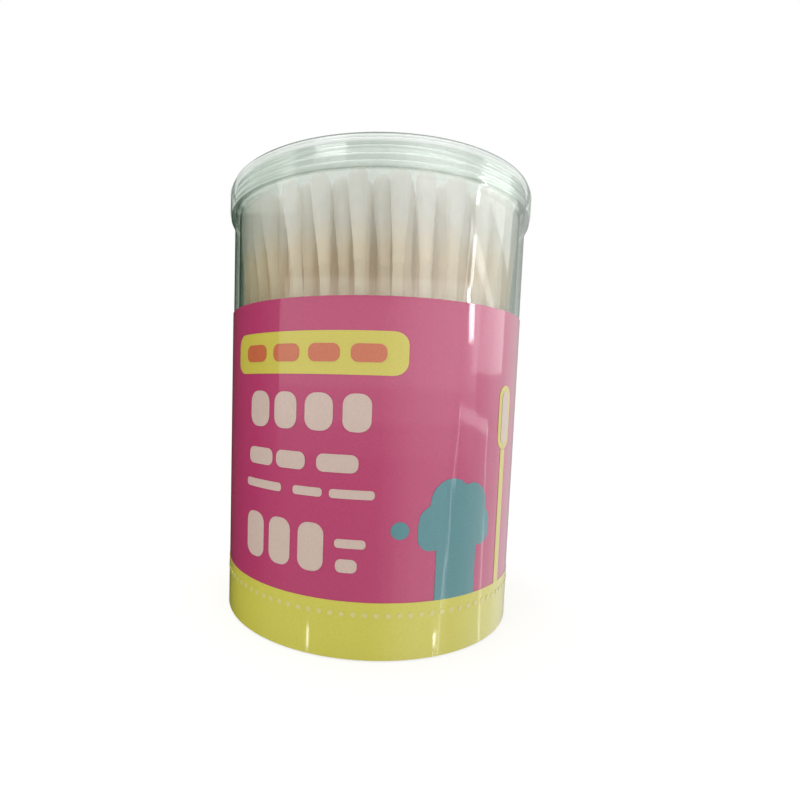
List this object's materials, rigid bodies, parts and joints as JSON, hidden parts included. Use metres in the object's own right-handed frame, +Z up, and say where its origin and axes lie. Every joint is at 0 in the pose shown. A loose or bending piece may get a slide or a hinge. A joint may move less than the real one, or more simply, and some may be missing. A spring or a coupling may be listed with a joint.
{
  "type": "cotton swab tub",
  "caption": "Round clear plastic tub with a ribbed press-on lid and a wrap-around printed film label, filled with upright double-ended cotton swabs on thin sticks.",
  "frame": {"origin": "centre of the foot ring's underside, on the surface that the tub stands on", "axes": "+Z up along the tub's axis, -Y the front of the label, +X to the right seen from the front"},
  "size_m": [0.0596, 0.0596, 0.0818],
  "materials": {
    "clear_plastic": "clear moulded polystyrene with a faint green-grey cast",
    "label_film": "glossy printed film, rose pink",
    "yellow_ink": "glossy printed field, lemon yellow",
    "pale_ink": "glossy printed field, pale pinkish white",
    "red_ink": "glossy printed field, orange red",
    "blue_ink": "glossy printed field, grey blue",
    "stick": "smooth pale stick",
    "cotton": "wound white cotton"
  },
  "bodies": {
    "tub": {"label": "label_film", "lower_cotton_ring_1": "cotton", "lower_cotton_ring_2": "cotton", "lower_cotton_ring_3": "cotton", "lower_cotton_ring_4": "cotton", "lower_cotton_ring_5": "cotton", "lower_cotton_ring_6": "cotton", "lower_cotton_ring_7": "cotton", "lower_cotton_ring_8": "cotton", "lower_cotton_ring_9": "cotton", "print_cloud": "blue_ink", "print_dots": "pale_ink", "print_pale_bars": "pale_ink", "print_red_bars": "red_ink", "print_yellow_band": "yellow_ink", "print_yellow_panel": "yellow_ink", "print_yellow_post": "yellow_ink", "sticks_ring_1": "stick", "sticks_ring_2": "stick", "sticks_ring_3": "stick", "sticks_ring_4": "stick", "sticks_ring_5": "stick", "sticks_ring_6": "stick", "sticks_ring_7": "stick", "sticks_ring_8": "stick", "sticks_ring_9": "stick", "tub": "clear_plastic", "upper_cotton_ring_1": "cotton", "upper_cotton_ring_2": "cotton", "upper_cotton_ring_3": "cotton", "upper_cotton_ring_4": "cotton", "upper_cotton_ring_5": "cotton", "upper_cotton_ring_6": "cotton", "upper_cotton_ring_7": "cotton", "upper_cotton_ring_8": "cotton", "upper_cotton_ring_9": "cotton"},
    "lid": {"lid": "clear_plastic"}
  },
  "joints": [
    {"name": "lid_lift", "type": "slide", "parent": "tub", "child": "lid", "axis": [0, 0, 1], "range_m": [0, 0.03]}
  ]
}
